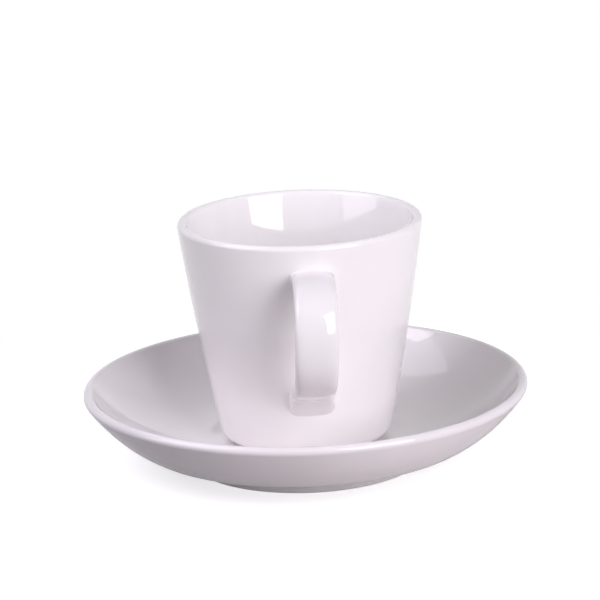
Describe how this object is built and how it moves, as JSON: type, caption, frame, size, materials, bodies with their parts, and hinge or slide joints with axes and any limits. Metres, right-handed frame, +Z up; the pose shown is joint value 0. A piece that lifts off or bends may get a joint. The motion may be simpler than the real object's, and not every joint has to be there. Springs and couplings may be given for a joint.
{
  "type": "espresso cup and saucer",
  "caption": "Small conical porcelain cup with a rounded lip and a strap handle, standing in the flat well of a deep round saucer on a foot ring.",
  "frame": {"origin": "middle of the saucer's foot ring, on the surface that it stands on", "axes": "+Z up along the axis of the cup and the saucer, +X towards the cup's handle"},
  "size_m": [0.12, 0.12, 0.067],
  "materials": {
    "saucer_porcelain": "gloss",
    "cup_porcelain": "gloss"
  },
  "bodies": {
    "saucer": {"saucer": "saucer_porcelain"},
    "cup": {"cup_body": "cup_porcelain", "cup_handle": "cup_porcelain"}
  },
  "joints": [
    {"name": "cup_lift", "type": "slide", "parent": "saucer", "child": "cup", "axis": [0, 0, 1], "range_m": [0, 0.06]}
  ]
}
